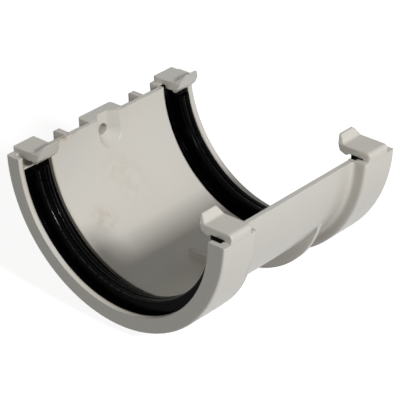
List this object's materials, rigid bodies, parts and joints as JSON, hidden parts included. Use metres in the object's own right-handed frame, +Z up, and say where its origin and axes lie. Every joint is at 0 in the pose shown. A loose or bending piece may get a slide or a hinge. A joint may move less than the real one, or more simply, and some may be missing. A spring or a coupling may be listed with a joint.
{
  "type": "gutter union",
  "caption": "Half-round rainwater gutter union: a grooved collar with a rubber seal and snap clips at each end, ribs underneath and a screw pad against the wall.",
  "frame": {"origin": "middle of the box round the part, at the lowest point of its two ribs", "axes": "+X along the gutter, +Y towards the wall that the back stands against, +Z up"},
  "size_m": [0.1146, 0.1324, 0.0759],
  "materials": {
    "body_plastic": "warm grey moulded PVC, satin, slightly soft edges",
    "seal_rubber": "black rubber, smooth, with a slight sheen along the crown"
  },
  "bodies": {
    "root": {"union_body": "body_plastic", "left_seal": "seal_rubber", "right_seal": "seal_rubber"}
  },
  "joints": []
}
